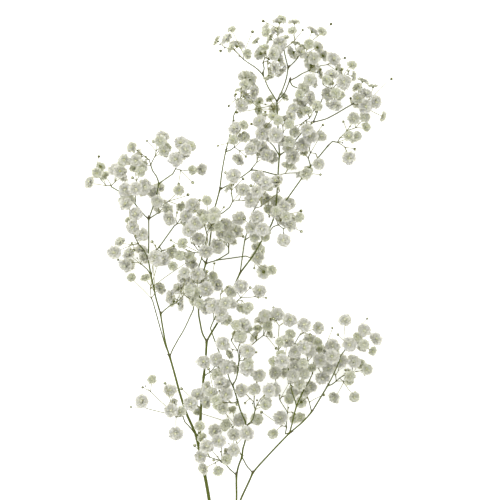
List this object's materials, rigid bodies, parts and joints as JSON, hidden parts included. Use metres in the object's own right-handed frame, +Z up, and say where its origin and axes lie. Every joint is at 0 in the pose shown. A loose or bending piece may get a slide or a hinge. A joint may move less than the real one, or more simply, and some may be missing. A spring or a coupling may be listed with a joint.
{
  "type": "gypsophila stem",
  "caption": "Cut stem of double white gypsophila lying on its side, forked into fine sprays of small ruffled blooms.",
  "frame": {"origin": "middle of the bounding box across and along, at the surface that the stem lies on", "axes": "+Y along the stem from its cut end to the tips of the sprays, +Z up from the surface, +X to the right"},
  "size_m": [0.3062, 0.682, 0.0823],
  "materials": {
    "stem": "smooth fibrous green stem",
    "spray": "matt, slightly translucent petals, on thin green stalks"
  },
  "bodies": {
    "root": {"centre_foot": "spray", "centre_fork": "spray", "centre_left": "spray", "centre_low": "spray", "centre_mass": "spray", "centre_right": "spray", "edge_low": "spray", "edge_tall": "spray", "fan_inner": "spray", "fan_low": "spray", "fan_outer": "spray", "fan_right": "spray", "far_left": "spray", "high_left": "spray", "high_middle": "spray", "high_right": "spray", "left_bridge": "spray", "left_crest": "spray", "left_fan": "spray", "left_foot": "spray", "left_heart": "spray", "left_inner": "spray", "left_low": "spray", "left_mass": "spray", "left_peak": "spray", "left_shoulder": "spray", "left_waist": "spray", "low_foot": "spray", "low_left": "spray", "low_middle": "spray", "main_stem": "stem", "outer_low": "spray", "outer_tip": "spray", "right_back": "spray", "right_low": "spray", "right_mass": "spray", "right_side": "spray", "right_tall": "spray", "second_left": "spray", "second_side": "spray", "shoot_left": "spray", "shoot_middle": "spray", "shoulder": "spray", "shoulder_right": "spray", "steeple": "spray", "steeple_side": "spray", "third_crown": "spray", "third_foot": "spray", "third_heart": "spray", "third_knot": "spray", "third_peak": "spray", "top_fan": "spray", "top_knot": "spray", "top_left": "spray", "top_right": "spray", "top_spire": "spray", "upper_back": "spray", "upper_heart": "spray", "upper_knot": "spray", "waist": "spray"}
  },
  "joints": []
}
